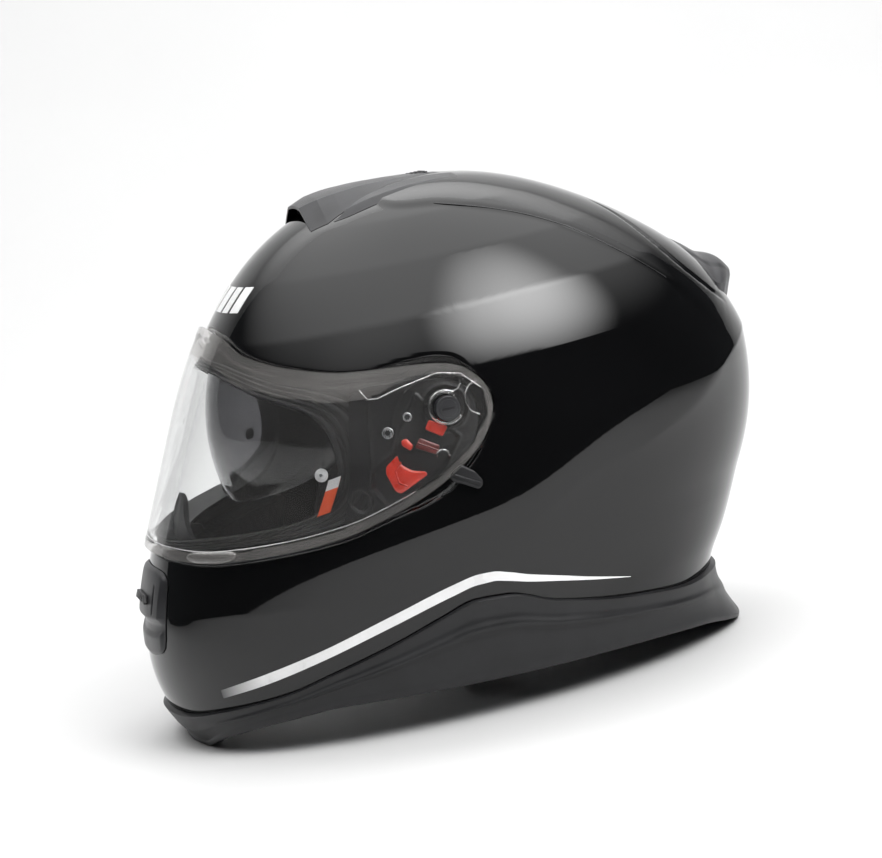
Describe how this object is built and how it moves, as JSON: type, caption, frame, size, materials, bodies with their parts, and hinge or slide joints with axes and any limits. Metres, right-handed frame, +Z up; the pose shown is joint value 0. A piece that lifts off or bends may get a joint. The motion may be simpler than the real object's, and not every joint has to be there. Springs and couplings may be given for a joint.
{
  "type": "full-face motorcycle helmet",
  "caption": "Gloss black full-face motorcycle helmet with a clear hinged visor, a drop-down smoked sun visor, sliding vents, padded liner and strap.",
  "frame": {"origin": "centre of the helmet's bounding box in plan, on the table that it stands on", "axes": "+Z up, standing on its lower rim; the face is toward -Y; the rider's left is +X"},
  "size_m": [0.2566, 0.3528, 0.2686],
  "materials": {
    "gloss_black": "clear-coated gloss black paint",
    "satin_black": "fine satin moulded black",
    "black_foam": "moulded polystyrene foam",
    "black_fabric": "brushed lining fabric",
    "black_rubber": "matte rubber",
    "clear_plastic": "clear polycarbonate",
    "smoke_plastic": "smoked polycarbonate",
    "red_plastic": "moulded red",
    "white_plastic": "moulded white",
    "orange_tab": "printed film",
    "white_film": "white film under lacquer",
    "steel": "plain zinc",
    "black_webbing": "woven polyester webbing"
  },
  "bodies": {
    "helmet": {"breath_guard": "black_rubber", "buckle_body": "steel", "cheek_pad_left": "black_fabric", "cheek_pad_right": "black_fabric", "chin_curtain": "black_fabric", "chin_vent_body": "satin_black", "crown_pad": "black_fabric", "detent_arm_left": "red_plastic", "detent_arm_right": "red_plastic", "eps_chin": "black_foam", "eps_liner": "black_foam", "eyeport_gasket": "black_rubber", "forehead_badge": "white_film", "lock_block_left": "red_plastic", "lock_block_right": "red_plastic", "neck_roll": "black_fabric", "outer_shell": "gloss_black", "pivot_hub_left": "satin_black", "pivot_hub_right": "satin_black", "plate_screw_front_left": "steel", "plate_screw_front_right": "steel", "plate_screw_rear_left": "steel", "plate_screw_rear_right": "steel", "rear_vent_body": "satin_black", "rim_trim": "satin_black", "stop_block_left": "red_plastic", "stop_block_right": "red_plastic", "strap_anchor_left": "steel", "strap_anchor_right": "steel", "strap_left": "black_webbing", "strap_right": "black_webbing", "stripe_left": "white_film", "stripe_right": "white_film", "sun_stud_left": "steel", "sun_stud_right": "steel", "top_vent_body": "satin_black", "visor_base_left": "satin_black", "visor_base_right": "satin_black"},
    "visor": {"visor": "clear_plastic", "visor_pin_left": "white_plastic", "visor_pin_right": "white_plastic", "pin_tab_left": "orange_tab"},
    "visor_latch_left": {"visor_latch_left": "red_plastic"},
    "visor_latch_right": {"visor_latch_right": "red_plastic"},
    "sun_visor": {"sun_visor": "smoke_plastic"},
    "sun_lever": {"sun_lever": "satin_black"},
    "top_vent_slider": {"top_vent_slider": "satin_black"},
    "chin_vent_slider": {"chin_vent_slider": "satin_black"},
    "buckle_lever": {"buckle_lever": "red_plastic"}
  },
  "joints": [
    {"name": "visor_hinge", "type": "hinge", "parent": "helmet", "child": "visor", "pos_m": [0, -0.0196, 0.158], "axis": [-1, 0, 0], "range_deg": [0, 34]},
    {"name": "latch_left_pivot", "type": "hinge", "parent": "helmet", "child": "visor_latch_left", "pos_m": [0.11882, -0.03844, 0.13772], "axis": [0.9733, -0.2132, 0.0856], "range_deg": [0, 10], "stiffness_Nm_per_rad": 0.02},
    {"name": "latch_right_pivot", "type": "hinge", "parent": "helmet", "child": "visor_latch_right", "pos_m": [-0.11882, -0.03844, 0.13772], "axis": [0.9733, 0.2132, -0.0856], "range_deg": [0, 10], "stiffness_Nm_per_rad": 0.02},
    {"name": "sun_visor_hinge", "type": "hinge", "parent": "helmet", "child": "sun_visor", "pos_m": [0, -0.0206, 0.147], "axis": [-1, 0, 0], "range_deg": [0, 37]},
    {"name": "sun_lever_slide", "type": "slide", "parent": "helmet", "child": "sun_lever", "axis": [-0.0268, -0.8006, -0.5986], "range_m": [0, 0.014]},
    {"name": "top_vent_slide", "type": "slide", "parent": "helmet", "child": "top_vent_slider", "axis": [0, 1, 0], "range_m": [0, 0.008]},
    {"name": "chin_vent_slide", "type": "slide", "parent": "helmet", "child": "chin_vent_slider", "axis": [0, 0.2629, 0.9648], "range_m": [0, 0.005]},
    {"name": "buckle_lever_hinge", "type": "hinge", "parent": "helmet", "child": "buckle_lever", "pos_m": [-0.013, -0.0166, 0.0137], "axis": [0, -1, 0], "range_deg": [0, 50], "stiffness_Nm_per_rad": 0.03}
  ],
  "couplings": [
    {"joint": "sun_lever_slide", "follows": "sun_visor_hinge", "m_per_rad": 0.02167}
  ]
}
